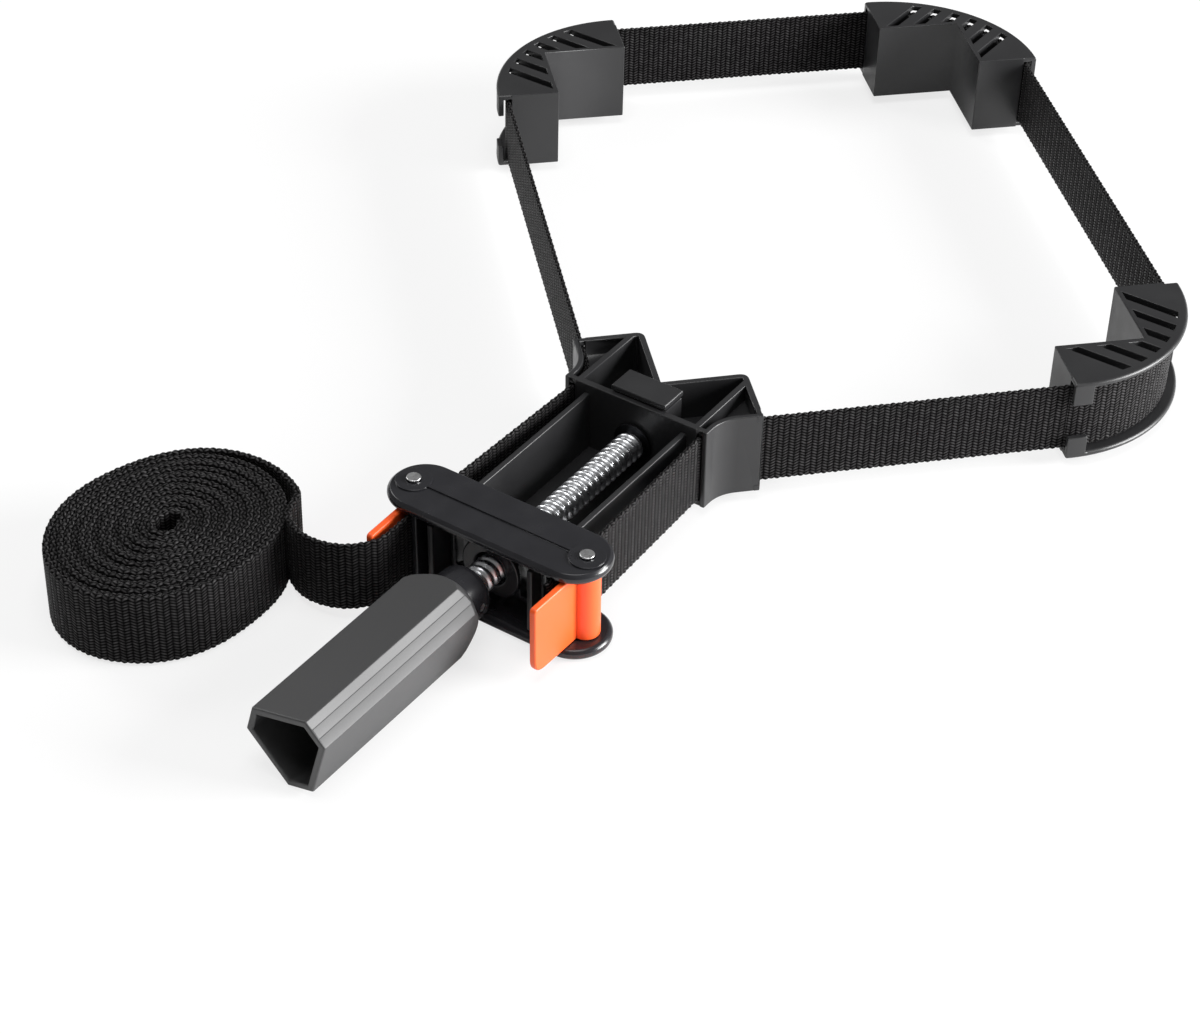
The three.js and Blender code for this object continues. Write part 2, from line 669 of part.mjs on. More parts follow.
// Straight runs between the corners
const runStart = blockLeg + overrun + gap;
const jawFace = jawLeg + gap;
const runs = [
  ['strap_front', runStart, -runAtBlock, workWidth - jawFace, -runAtJaw],
  ['strap_right', workWidth + runAtJaw, jawFace, workWidth + runAtJaw, workDepth - jawFace],
  ['strap_back', workWidth - jawFace, workDepth + runAtJaw, jawFace, workDepth + runAtJaw],
  ['strap_left', -runAtJaw, workDepth - jawFace, -runAtBlock, runStart],
];
for (const [name, x0, y0, x1, y1] of runs) {
  add(name, ribbon(straight(x0, y0, x1, y1)), plastic(webbing, 0.85));
}

// Tail of the strap: from the left cam back past the lever, then round to the roll
const toClamp = (x, y) => new THREE.Vector2(x, y).rotateAround(new THREE.Vector2(), leaning.rotation.z);
const standing = new THREE.Box3().setFromObject(clamp).min.z; // under the lowest piece so far
const rollCentre = new THREE.Vector2(-rollX, -rollY);
function spiral(turn, radius) {
  const longer = 1 + (rollLong / rollRadius) * Math.cos(2 * (turn - radians(rollLongTurn)));
  const way = new THREE.Vector2(Math.cos(turn), Math.sin(turn));
  return rollCentre.clone().addScaledVector(way, radius * longer);
}

function tailPath() {
  const start = toClamp(camIn + gap, -strapAtCam);
  const bend = toClamp(crossheadAt + tailStraight, -strapAtCam);
  const back = bend.clone().sub(start).normalize();
  const leave = radians(rollLeaves);
  const end = spiral(leave, rollRadius);
  const round = spiral(leave + radians(1), rollRadius).sub(end).normalize();
  const curve = new THREE.CubicBezierCurve(
    bend, bend.clone().addScaledVector(back, tailFirstHandle),
    end.clone().addScaledVector(round, -tailLastHandle), end.clone().addScaledVector(round, -gap),
  );
  return [start, ...curve.getPoints(24)];
}

// The tail dips with the tensioner, then settles to the height that the roll stands at.
const settleStart = 0.3; // share of the tail's steps where it begins to settle
function settle(share, point) {
  const back = point.dot(toClamp(1, 0));
  const dipped = strapLow - back * Math.tan(radians(toolDip));
  return THREE.MathUtils.lerp(dipped, standing, THREE.MathUtils.smoothstep(share, settleStart, 1));
}
add('strap_tail', ribbon(tailPath(), settle), plastic(webbing, 0.85));

function rollPath() {
  const path = [];
  const steps = rollTurns * stepsPerTurn;
  for (let i = 0; i <= steps; i += 1) {
    const turns = i / stepsPerTurn;
    path.push(spiral(radians(rollLeaves) + turns * 2 * Math.PI, rollRadius - rollPitch * turns));
  }
  return path;
}

const coil = rollPath();
add('strap_roll', ribbon(coil, () => standing), plastic(webbing, 0.85));

// The least gap between neighbouring turns of the roll, and the strap's whole length
function leastGap(path) {
  let least = Infinity;
  for (let i = 0; i + stepsPerTurn < path.length; i += 1) {
    for (let j = i + stepsPerTurn - 2; j < Math.min(i + stepsPerTurn + 3, path.length - 1); j += 1) {
      const a = path[j];
      const along = path[j + 1].clone().sub(a);
      const share = THREE.MathUtils.clamp(path[i].clone().sub(a).dot(along) / along.lengthSq(), 0, 1);
      least = Math.min(least, path[i].distanceTo(a.clone().addScaledVector(along, share)));
    }
  }
  return least - strapThick;
}

const lengthOf = (path) => path.slice(1).reduce((sum, point, i) => sum + point.distanceTo(path[i]), 0);
console.log(`least gap between turns of the roll: ${leastGap(coil).toFixed(2)} mm`);
console.log(`strap in the roll: ${lengthOf(coil).toFixed(0)} mm`);
console.log(`strap in the tail: ${lengthOf(tailPath()).toFixed(0)} mm`);

// The origin is under the middle of the whole clamp, on the surface that it stands on.
const bounds = new THREE.Box3().setFromObject(clamp);
const middle = bounds.getCenter(new THREE.Vector3());
clamp.position.set(-middle.x, -middle.y, -bounds.min.z);

export default clamp;
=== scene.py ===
# %% [markdown]
# # A band clamp, dressed for its picture
#
# A band clamp pulls a strap of webbing tight round the work while its glue sets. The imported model
# already has every solid part in its place, so this lesson gives each of them its looks: rounded
# moulded edges, a real screw thread, woven webbing, and the plastics and metals. Everything is in
# metres, in the same frame as the solids.

import json
import math

import bmesh
import bpy
from mathutils import Matrix, Quaternion, Vector

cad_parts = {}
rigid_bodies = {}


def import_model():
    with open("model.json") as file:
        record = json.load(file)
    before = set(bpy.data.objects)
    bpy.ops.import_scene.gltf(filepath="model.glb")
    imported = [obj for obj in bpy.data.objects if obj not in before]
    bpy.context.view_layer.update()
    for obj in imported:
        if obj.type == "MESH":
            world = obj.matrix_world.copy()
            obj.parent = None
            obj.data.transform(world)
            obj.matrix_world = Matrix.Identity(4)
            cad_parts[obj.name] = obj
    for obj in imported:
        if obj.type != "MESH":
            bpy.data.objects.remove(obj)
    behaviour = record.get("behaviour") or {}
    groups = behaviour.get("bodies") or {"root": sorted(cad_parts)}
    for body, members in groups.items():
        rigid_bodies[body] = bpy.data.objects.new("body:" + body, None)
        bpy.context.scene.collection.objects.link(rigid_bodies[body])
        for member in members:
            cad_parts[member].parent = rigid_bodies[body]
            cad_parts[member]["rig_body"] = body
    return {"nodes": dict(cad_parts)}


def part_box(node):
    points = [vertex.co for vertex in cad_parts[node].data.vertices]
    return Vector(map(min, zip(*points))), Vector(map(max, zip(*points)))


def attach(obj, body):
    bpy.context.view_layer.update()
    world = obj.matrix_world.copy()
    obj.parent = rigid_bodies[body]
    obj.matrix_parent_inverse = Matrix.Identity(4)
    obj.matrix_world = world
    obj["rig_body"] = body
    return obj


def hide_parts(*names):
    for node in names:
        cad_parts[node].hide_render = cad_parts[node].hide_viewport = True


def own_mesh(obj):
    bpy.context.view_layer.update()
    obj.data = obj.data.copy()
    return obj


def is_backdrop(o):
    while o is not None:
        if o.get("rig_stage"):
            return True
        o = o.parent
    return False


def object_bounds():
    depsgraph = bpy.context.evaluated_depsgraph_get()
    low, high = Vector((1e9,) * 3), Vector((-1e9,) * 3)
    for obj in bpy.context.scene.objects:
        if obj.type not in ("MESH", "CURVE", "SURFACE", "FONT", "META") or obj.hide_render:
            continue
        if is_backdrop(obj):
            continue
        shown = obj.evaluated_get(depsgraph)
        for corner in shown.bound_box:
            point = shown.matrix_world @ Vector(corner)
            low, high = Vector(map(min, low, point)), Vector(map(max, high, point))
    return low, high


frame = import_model()
solids_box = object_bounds()
MM = 0.001

# %% [markdown]
# ## Two places to measure from
#
# The work is a rectangle, and the front block holds its front left corner. Most of the clamp is
# drawn from that corner: X and Y run along the two sides of the work. The screw tensioner leaves
# the corner on the diagonal and leans down to its handle by one degree, so it gets a frame of its
# own. Its X runs back along the screw, and its Y to the right. The corner is read from the jaws, so
# it follows the CAD. The jaws hang a little above the bench, and the handle and the roll touch it.

# %% Find the corner and the tensioner's frame
JAW_LEG = 31 * MM  # a jaw reaches this far along each side of the work
CORNER = Vector((
    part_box("jaw_back_left")[1].x - JAW_LEG,
    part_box("jaw_front_right")[1].y - JAW_LEG,
    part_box("jaw_back_left")[0].z,
))
WORK_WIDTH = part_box("jaw_back_right")[0].x + JAW_LEG - CORNER.x
WORK_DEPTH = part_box("jaw_back_right")[0].y + JAW_LEG - CORNER.y
SCREW_UP = 15.0  # the screw's axis above the underside of the jaws, in millimetres
SCREW_TURN, SCREW_DIP = math.radians(225), math.radians(1)
PIVOT = Vector((0, 0, SCREW_UP * MM))
TENSIONER = (
    Matrix.Translation(CORNER + PIVOT) @ Matrix.Rotation(SCREW_TURN, 4, "Z")
    @ Matrix.Rotation(SCREW_DIP, 4, "Y") @ Matrix.Translation(-PIVOT)
)


def beside_screw(back, right, up=0.0):
    """A point of the tensioner, in millimetres back, right and up, as a point of the model."""
    return TENSIONER @ (Vector((back, right, up)) * MM)


print(f"work of {WORK_WIDTH / MM:.0f} by {WORK_DEPTH / MM:.0f} mm, corner at {CORNER / MM}")

# %% [markdown]
# ## Camera
#
# The photograph looks down on the clamp from beyond the handle, with a long lens. The camera's
# turn, tilt, roll and distance were fitted to edges that can be measured in the photograph, so a
# render can be compared with it point by point.

# %% Set the camera
AZIMUTH, ELEVATION, ROLL = (math.radians(angle) for angle in (11.613, 37.770, 1.607))
DISTANCE = 882.756 * MM
SENSOR = 36.0
FOCAL_IN_PIXELS, IMAGE_WIDTH = 2848.09, 1200
AIM = (-28.77, -48.01, 15)  # millimetres from the corner

aim = CORNER + Vector(AIM) * MM
towards_camera = Vector((
    -math.sin(AZIMUTH) * math.cos(ELEVATION),
    -math.cos(AZIMUTH) * math.cos(ELEVATION),
    math.sin(ELEVATION),
))
camera = bpy.data.objects.new("camera", bpy.data.cameras.new("camera"))
camera.data.sensor_fit = "HORIZONTAL"
camera.data.sensor_width = SENSOR
camera.data.lens = FOCAL_IN_PIXELS / IMAGE_WIDTH * SENSOR
camera.data.clip_start = 0.01
camera.rotation_mode = "QUATERNION"
camera.rotation_quaternion = towards_camera.to_track_quat("Z", "Y") @ Quaternion((0, 0, 1), ROLL)
camera.location = aim + towards_camera * DISTANCE
bpy.context.scene.collection.objects.link(camera)
bpy.context.scene.camera = camera
bpy.context.scene.view_settings.view_transform = "Standard"
print(f"lens of {camera.data.lens:.1f} mm at {DISTANCE:.3f} m")

# %% [markdown]
# ## Light and floor
#
# A product picture like this one is lit by large soft boxes in a white room. A dim pale world gives
# the fill, and it is also what the tops of the black parts mirror. The main lamp stands low on the
# right, so the outer sides that face right are bright and the inside of the block stays dark. A
# wide dim lamp overhead gives the steel something to mirror, and a small one behind on the left
# draws the highlight along the upper edges. The floor is pale paper that also glows a little for
# the camera alone, so that it stays plain without throwing light up at the clamp.

# %% Build the world and the lamps
FILL_LIGHT = 0.18
LAMPS = (  # name, place and size in metres, and power in watts
    ("lamp_right", (1.9, -0.7, 0.62), 1.1, 105),
    ("lamp_overhead", (-0.1, -0.3, 1.9), 1.0, 16),
    ("lamp_back_left", (-0.9, 1.1, 1.2), 0.7, 9),
)

world = bpy.data.worlds.new("studio")
world.use_nodes = True
world.node_tree.nodes["Background"].inputs["Color"].default_value = (1, 1, 1, 1)
world.node_tree.nodes["Background"].inputs["Strength"].default_value = FILL_LIGHT
bpy.context.scene.world = world


def soft_box(name, place, size, power):
    """A square lamp of that size in metres, aimed at the clamp."""
    lamp = bpy.data.lights.new(name, "AREA")
    lamp.shape = "SQUARE"
    lamp.size = size
    lamp.energy = power
    holder = bpy.data.objects.new(name, lamp)
    holder.location = place
    holder.rotation_mode = "QUATERNION"
    holder.rotation_quaternion = Vector(place).to_track_quat("Z", "Y")
    bpy.context.scene.collection.objects.link(holder)


for lamp in LAMPS:
    soft_box(*lamp)
print(len(LAMPS), "lamps")

# %% Build the floor
FLOOR_REACH = 6.0
FLOOR_GLOW = 0.75  # share of the glow in what the camera sees of the floor

plane = bmesh.new()
bmesh.ops.create_grid(plane, x_segments=1, y_segments=1, size=FLOOR_REACH)
floor = bpy.data.objects.new("floor", bpy.data.meshes.new("floor"))
plane.to_mesh(floor.data)
plane.free()
bpy.context.scene.collection.objects.link(floor)
floor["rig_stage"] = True

paper = bpy.data.materials.new("paper")
paper.use_nodes = True
nodes, links = paper.node_tree.nodes, paper.node_tree.links
nodes["Principled BSDF"].inputs["Base Color"].default_value = (0.92, 0.92, 0.92, 1)
nodes["Principled BSDF"].inputs["Roughness"].default_value = 0.9
glow = nodes.new("ShaderNodeEmission")
glow.inputs["Strength"].default_value = 1.0
seen = nodes.new("ShaderNodeLightPath")
glow_share = nodes.new("ShaderNodeMath")
glow_share.operation = "MULTIPLY"
glow_share.inputs[1].default_value = FLOOR_GLOW
links.new(seen.outputs["Is Camera Ray"], glow_share.inputs[0])
mix = nodes.new("ShaderNodeMixShader")
links.new(glow_share.outputs[0], mix.inputs["Fac"])
links.new(nodes["Principled BSDF"].outputs["BSDF"], mix.inputs[1])
links.new(glow.outputs["Emission"], mix.inputs[2])
links.new(mix.outputs["Shader"], nodes["Material Output"].inputs["Surface"])
floor.data.materials.append(paper)
print(f"floor of {2 * FLOOR_REACH:.0f} m")

# %% [markdown]
# ## Finishes
#
# Each finish is a Principled shader. What varies over the surface comes from one node group that
# the finishes share: the fine grain that a spark-eroded mould leaves on plastic, and a cloudy
# unevenness that keeps wide faces from looking drawn.


# %% Small helpers for shader nodes
def finish(name, colour, roughness, metallic=0.0):
    """A new material with a Principled shader, and that shader."""
    material = bpy.data.materials.new(name)
    material.use_nodes = True
    shader = material.node_tree.nodes["Principled BSDF"]
    shader.inputs["Base Color"].default_value = (*colour, 1)
    shader.inputs["Roughness"].default_value = roughness
    shader.inputs["Metallic"].default_value = metallic
    return material, shader


def new_group(name, inputs, outputs):
    """An empty shader group with named number, vector and colour sockets."""
    group = bpy.data.node_groups.new(name, "ShaderNodeTree")
    for way, sockets in (("INPUT", inputs), ("OUTPUT", outputs)):
        for title, kind, value in sockets:
            kind = f"NodeSocket{kind}"
            socket = group.interface.new_socket(title, in_out=way, socket_type=kind)
            if value is not None:
                socket.default_value = value
    return group, group.nodes.new("NodeGroupInput"), group.nodes.new("NodeGroupOutput")


def sum_node(tree, operation, first, second=None, third=None):
    """A Math node. Each value is a number, or a socket that it is linked to."""
    node = tree.nodes.new("ShaderNodeMath")
    node.operation = operation
    for socket, value in zip(node.inputs, (first, second, third)):
        if value is None:
            continue
        if isinstance(value, (int, float)):
            socket.default_value = value
        else:
            tree.links.new(value, socket)
    return node.outputs[0]


# %% Build the mould grain and the cloudiness
grain, grain_in, grain_out = new_group(
    "mould_grain",
    [("Vector", "Vector", None), ("Grain Scale", "Float", 2200.0), ("Cloud Scale", "Float", 60.0)],
    [("Height", "Float", None), ("Cloud", "Float", None)],
)
fine = grain.nodes.new("ShaderNodeTexNoise")
fine.inputs["Detail"].default_value = 3
cloud = grain.nodes.new("ShaderNodeTexNoise")
cloud.inputs["Detail"].default_value = 4
for noise, scale in ((fine, "Grain Scale"), (cloud, "Cloud Scale")):
    grain.links.new(grain_in.outputs["Vector"], noise.inputs["Vector"])
    grain.links.new(grain_in.outputs[scale], noise.inputs["Scale"])
grain.links.new(fine.outputs["Fac"], grain_out.inputs["Height"])
grain.links.new(cloud.outputs["Fac"], grain_out.inputs["Cloud"])
print(f"{grain.name}: {len(grain.nodes)} nodes")

# %% Use a group in a finish
NOISE_LOW, NOISE_HIGH = 0.3, 0.7  # the noise seldom goes beyond these


def place_group(material, group, values=()):
    """Puts a node group in a material, on Object coordinates, with its own values."""
    tree = material.node_tree
    node = tree.nodes.new("ShaderNodeGroup")
    node.node_tree = group
    if "Vector" in node.inputs:
        place = tree.nodes.new("ShaderNodeTexCoord")
        tree.links.new(place.outputs["Object"], node.inputs["Vector"])
    for title, value in values:
        node.inputs[title].default_value = value
    return node


def spread(tree, fac, low, high):
    """Turns the range of the noise into low to high."""
    node = tree.nodes.new("ShaderNodeMapRange")
    tree.links.new(fac, node.inputs["Value"])
    node.inputs["From Min"].default_value = NOISE_LOW
    node.inputs["From Max"].default_value = NOISE_HIGH
    node.inputs["To Min"].default_value = low
    node.inputs["To Max"].default_value = high
    return node.outputs["Result"]


def tint(tree, fac, dark, light):
    """A colour between dark and light."""
    node = tree.nodes.new("ShaderNodeMix")
    node.data_type = "RGBA"
    tree.links.new(fac, node.inputs["Factor"])
    node.inputs["A"].default_value = (*dark, 1)
    node.inputs["B"].default_value = (*light, 1)
    return node.outputs["Result"]


def relief(tree, shader, height, strength, distance):
    """Lets a height socket bend the light on a shader."""
    bump = tree.nodes.new("ShaderNodeBump")
    bump.inputs["Strength"].default_value = strength
    bump.inputs["Distance"].default_value = distance
    tree.links.new(height, bump.inputs["Height"])
    tree.links.new(bump.outputs["Normal"], shader.inputs["Normal"])


def clouded(name, colours, roughness, metallic, cloud_scale, strength, depth):
    """A finish whose colour and gloss drift from the first value to the second, with a grain."""
    material, shader = finish(name, colours[1], roughness[1], metallic)
    tree = material.node_tree
    texture = place_group(material, grain, [("Cloud Scale", cloud_scale)])
    cloudiness = texture.outputs["Cloud"]
    tree.links.new(tint(tree, cloudiness, *colours), shader.inputs["Base Color"])
    tree.links.new(spread(tree, cloudiness, *roughness), shader.inputs["Roughness"])
    relief(tree, shader, texture.outputs["Height"], strength, depth)
    return material


# %% Plastics and metals
def moulded_plastic(name, dark, light, roughness, grain_depth, cloud_scale=60.0):
    """Plastic from a mould: slightly cloudy in colour and gloss, with a fine grain."""
    return clouded(name, (dark, light), roughness, 0.0, cloud_scale, 0.35, grain_depth)


def bare_metal(name, dark, light, roughness):
    """Metal with slight clouds in its shine."""
    return clouded(name, (dark, light), roughness, 1.0, 400.0, 0.2, 0.01 * MM)


black_plastic = moulded_plastic(
    "black_plastic", (0.016, 0.016, 0.017), (0.024, 0.024, 0.025), (0.30, 0.42), 0.02 * MM)
gloss_plastic = moulded_plastic(
    "gloss_plastic", (0.014, 0.014, 0.016), (0.020, 0.020, 0.023), (0.16, 0.28), 0.008 * MM,
    cloud_scale=120.0)
handle_plastic = moulded_plastic(
    "handle_plastic", (0.042, 0.042, 0.043), (0.048, 0.048, 0.049), (0.42, 0.48), 0.012 * MM,
    cloud_scale=30.0)
orange_plastic = moulded_plastic(
    "orange_plastic", (0.90, 0.100, 0.015), (0.95, 0.120, 0.022), (0.34, 0.44), 0.015 * MM)

zinc_steel = bare_metal("zinc_steel", (0.62, 0.63, 0.65), (0.80, 0.81, 0.83), (0.24, 0.40))
# Painted shade: near-black steel for the thrust washer, so that it reads as the shade in the recess
# where the screw enters.
painted_shade_steel = bare_metal("painted_shade_steel", (0.020, 0.020, 0.022), (0.040, 0.040, 0.044), (0.35, 0.50))
bright_steel = bare_metal("bright_steel", (0.74, 0.74, 0.75), (0.88, 0.88, 0.88), (0.22, 0.36))
print(len(bpy.data.materials), "materials so far")

# %% [markdown]
# ## Moulded parts
#
# The solids are right in shape, but every edge of a CAD solid is razor sharp, and a black part is
# read by the light on its edges. Each part is therefore copied, and its triangles are merged back
# into whole faces, so that the only edges left are real ones.

# %% Merge triangles into whole faces
FLAT = math.radians(1.0)  # faces that turn by less than this are one face


def one_seam(faces):
    """True if two faces meet along one unbroken line, so that joining them leaves no hole."""
    seam = [edge for edge in faces[0].edges if faces[1] in edge.link_faces]
    return len({corner for edge in seam for corner in edge.verts}) == len(seam) + 1


def whole_faces(shape):
    """Joins the triangles of each flat face, the longest edges between them first."""
    paired = [edge for edge in shape.edges if len(edge.link_faces) == 2]
    seams = [edge for edge in paired if edge.calc_face_angle() < FLAT]
    for edge in sorted(seams, key=lambda seam: seam.calc_length(), reverse=True):
        if edge.is_valid and one_seam(edge.link_faces):
            bmesh.utils.face_join(list(edge.link_faces))
    bmesh.ops.dissolve_limit(shape, angle_limit=FLAT, verts=shape.verts, edges=[])


# %% [markdown]
# Every outer edge that turns by more than 25 degrees is rounded. Beside a thin wall or a low step
# there is less room than the radius asks for. The two rounded edges of a thin rim would then run
# through each other and fold the face between them. So each edge first measures how wide the faces
# beside it are, and takes only a share of that. Edges that run on from each other, such as the
# steps of an arc, all take the least share among them, so that the rounding stays even.

# %% Measure how much of the radius an edge can take
SHARP = math.radians(25)  # edges that turn by more than this are rounded
ROOM_SHARE = 0.38  # an edge may take this much of the face beside it
WIDE = 50 * MM  # a face wider than this leaves room for any radius
RUN_ON = math.cos(math.radians(125))  # edges that meet at a wider angle run on from each other
PROBES = (0.1, 0.5, 0.9)  # where along an edge the width of a face is measured


def local_width(side):
    """How far a face reaches inwards from one of its sides, where it is narrowest."""
    along = (side.link_loop_next.vert.co - side.vert.co).normalized()
    inwards = side.face.normal.cross(along)
    narrowest = WIDE
    for share in PROBES:
        start = side.vert.co.lerp(side.link_loop_next.vert.co, share)
        for other in side.face.loops:
            if other in (side, side.link_loop_prev, side.link_loop_next):
                continue
            near, far = other.vert.co - start, other.link_loop_next.vert.co - start
            u, v = near.dot(along), far.dot(along)
            if u * v < 0:
                depth = near.dot(inwards) + (far - near).dot(inwards) * u / (u - v)
                if depth > 0:
                    narrowest = min(narrowest, depth)
    return narrowest


def rounded_share(edge, radius, hollows):
    """The share of a radius that the faces beside an edge leave room for."""
    if len(edge.link_faces) != 2 or edge.calc_face_angle() < SHARP:
        return 0.0
    if not (edge.is_convex or hollows):
        return 0.0
    return min(1.0, ROOM_SHARE * min(local_width(side) for side in edge.link_loops) / radius)


def run_on(edge, other, corner):
    """True if two edges that meet at a corner run on almost straight."""
    ways = [(one.other_vert(corner).co - corner.co).normalized() for one in (edge, other)]
    return ways[0].dot(ways[1]) < RUN_ON


def even_chains(shape, weight):
    """Gives all rounded edges that run on from each other the least weight among them."""
    left = {edge for edge in shape.edges if edge[weight] > 0}
    while left:
        chain, queue = [], [left.pop()]
        while queue:
            edge = queue.pop()
            chain.append(edge)
            following = {other for corner in edge.verts for other in corner.link_edges
                         if other in left and run_on(edge, other, corner)}
            left -= following
            queue += following
        least = min(edge[weight] for edge in chain)
        for edge in chain:
            edge[weight] = least


# %% [markdown]
# The Bevel modifier then rounds by those shares. Weighted normals keep the light on the wide faces
# flat, so only the rounded strips catch a highlight, as on a real moulding. The copy replaces the
# solid, which stays in the simulation.

# %% Dress a copy of a solid part
def dressed(node, material, radius, segments=2, hollows=False, detail=None):
    """A copy of a solid part, on its body, with rounded edges and, if told, rounded hollows."""
    solid = frame["nodes"][node]
    shape = bmesh.new()
    shape.from_mesh(solid.data)
    bmesh.ops.remove_doubles(shape, verts=shape.verts, dist=0.02 * MM)
    bmesh.ops.dissolve_degenerate(shape, edges=shape.edges, dist=0.01 * MM)
    whole_faces(shape)
    weight = shape.edges.layers.float.new("bevel_weight_edge")
    for edge in shape.edges:
        edge[weight] = rounded_share(edge, radius, hollows)
        gentle = len(edge.link_faces) == 2 and edge.calc_face_angle() < SHARP
        edge.smooth = edge[weight] > 0 or gentle
    even_chains(shape, weight)
    if detail:
        detail(shape)
    piece = bpy.data.objects.new(node + "_piece", bpy.data.meshes.new(node + "_piece"))
    shape.to_mesh(piece.data)
    shape.free()
    piece.data.shade_smooth()
    bpy.context.scene.collection.objects.link(piece)
    rounding = piece.modifiers.new("rounded edges", "BEVEL")
    rounding.width = radius
    rounding.segments = segments
    rounding.limit_method = "WEIGHT"
    rounding.use_clamp_overlap = False
    rounding.miter_outer = "MITER_ARC"
    shading = piece.modifiers.new("flat faces stay flat", "WEIGHTED_NORMAL")
    shading.mode = "FACE_AREA"
    shading.keep_sharp = True
    piece.data.materials.append(material)
    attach(piece, solid["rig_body"])
    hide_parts(node)
    return piece


# %% [markdown]
# Two parts need a touch of their own. The grip of the handle has two fine lines along each narrow
# face, where the parts of its mould met, and its neck is polished. On the crosshead the rim round
# the pocket of the nut is too thin to round at all.

# %% Details of the handle and the crosshead
GRIP_LENGTH = 60 * MM  # the faces of the grip are longer than this
CORNER_AREA = 800 * MM * MM  # and its narrow corner faces have less area than this
LINE_OFF = 1.6 * MM  # each mould line off the middle of a corner face
LINE_HALF, LINE_DEEP = 0.14 * MM, 0.14 * MM
NECK_END = 113.0  # behind the corner of the notch, where the glossy neck ends
RIM_CORNERS = 30  # the rim round the pocket of the nut has more corners than this
RIM_AREA = (100, 110)  # and an area between these, in square millimetres


def is_outer(face, start, axis):
    """True if a face along the grip faces away from the screw's axis."""
    off = face.calc_center_median() - start
    return (off - axis * off.dot(axis)).dot(face.normal) > 0


def parts_of(cut, kind):
    """The vertices or faces among what a cut gives back."""
    return [part for part in cut if isinstance(part, kind)]


def grooved(shape, face, axis):
    """Cuts two fine grooves along a narrow face of the grip."""
    across, middle = axis.cross(face.normal).normalized(), face.calc_center_median()
    inward, faces = -face.normal, {face}
    for line in (-LINE_OFF, LINE_OFF):
        for step in (-LINE_HALF, 0, LINE_HALF):
            cut = bmesh.ops.bisect_plane(
                shape, geom=list({part for one in faces for part in (*one.verts, *one.edges, one)}),
                dist=1e-6, plane_co=middle + across * (line + step), plane_no=across,
            )
            faces |= set(parts_of(cut["geom"], bmesh.types.BMFace))
            if step == 0:
                for corner in parts_of(cut["geom_cut"], bmesh.types.BMVert):
                    corner.co += inward * LINE_DEEP


def mould_lines(shape):
    """Cuts the grooves along each narrow face of the grip, and marks the neck as glossy."""
    axis = (beside_screw(1, 0) - beside_screw(0, 0)).normalized()
    start = beside_screw(NECK_END, 0, SCREW_UP)
    narrow = [face for face in shape.faces if face.calc_area() < CORNER_AREA]
    long = [face for face in narrow if max(edge.calc_length() for edge in face.edges) > GRIP_LENGTH]
    for face in [face for face in long if is_outer(face, start, axis)]:
        grooved(shape, face, axis)
    for face in shape.faces:
        face.material_index = int((face.calc_center_median() - start).dot(axis) < 0)


def sharp_pocket_rim(shape):
    """Leaves the rim of the nut's pocket sharp: it is only 1 mm wide at the corners of the nut."""
    weight = shape.edges.layers.float["bevel_weight_edge"]
    for face in shape.faces:
        area = face.calc_area() / MM / MM
        if len(face.verts) > RIM_CORNERS and RIM_AREA[0] < area < RIM_AREA[1]:
            for edge in face.edges:
                edge[weight] = 0.0


# %% Dress the moulded and metal parts
dressed("front_block", black_plastic, 0.4 * MM)
dressed("bearing_cap", black_plastic, 0.5 * MM)
dressed("crosshead", gloss_plastic, 0.8 * MM, segments=3, detail=sharp_pocket_rim)
for jaw in ("jaw_front_right", "jaw_back_left", "jaw_back_right"):
    dressed(jaw, black_plastic, 0.35 * MM)
handle = dressed(
    "handle", handle_plastic, 0.8 * MM, segments=3, detail=mould_lines)
handle.data.materials.append(gloss_plastic)
for lever in ("lever_right", "lever_left"):
    dressed(lever, orange_plastic, 0.7 * MM, segments=3, hollows=True)
for small in ("retaining_ring", "screw_nut", "handle_pin"):
    dressed(small, zinc_steel, 0.15 * MM)
# The washer's near-black steel is painted shade for the recess round the screw's entry.
dressed("thrust_washer", painted_shade_steel, 0.15 * MM)
for rivet in ("rivet_right", "rivet_left"):
    dressed(rivet, bright_steel, 0.25 * MM, segments=3)
print(f"handle of {len(handle.data.polygons)} faces before its edges are rounded")

# %% [markdown]
# ## Screw
#
# The screw is a 10 mm rod with a rolled, round-crested thread, 3 mm from crest to crest. One pitch
# of its profile is drawn once and spun round the axis while it moves along, which is how a thread
# is cut. A plane at each end then cuts the helix off square. A plain journal in front of the thread
# runs in the bearing. All of these sizes are in millimetres.

# %% Spin the thread
PITCH = 3.0
THREAD_START, THREAD_END = 16.8, 115.4
STEPS = 28  # faces to a turn
ROOT_RADIUS, CREST_RADIUS = 4.05, 5.0
PROFILE_STEPS = 12
CREST_SHAPE = 1.2  # above 1, the crests are narrower than the roots
JOURNAL_RADIUS, JOURNAL_LENGTH, JOURNAL_MIDDLE = 3.5, 12.2, 11.1
JOURNAL_STEPS = 36
profile = []
for step in range(PROFILE_STEPS + 1):
    rise = math.sin(math.pi * step / PROFILE_STEPS) ** CREST_SHAPE
    height = ROOT_RADIUS + (CREST_RADIUS - ROOT_RADIUS) * rise
    profile.append((PITCH * step / PROFILE_STEPS, height))
axis_start = beside_screw(0, 0, SCREW_UP)
along_screw = (beside_screw(1, 0) - beside_screw(0, 0)).normalized()


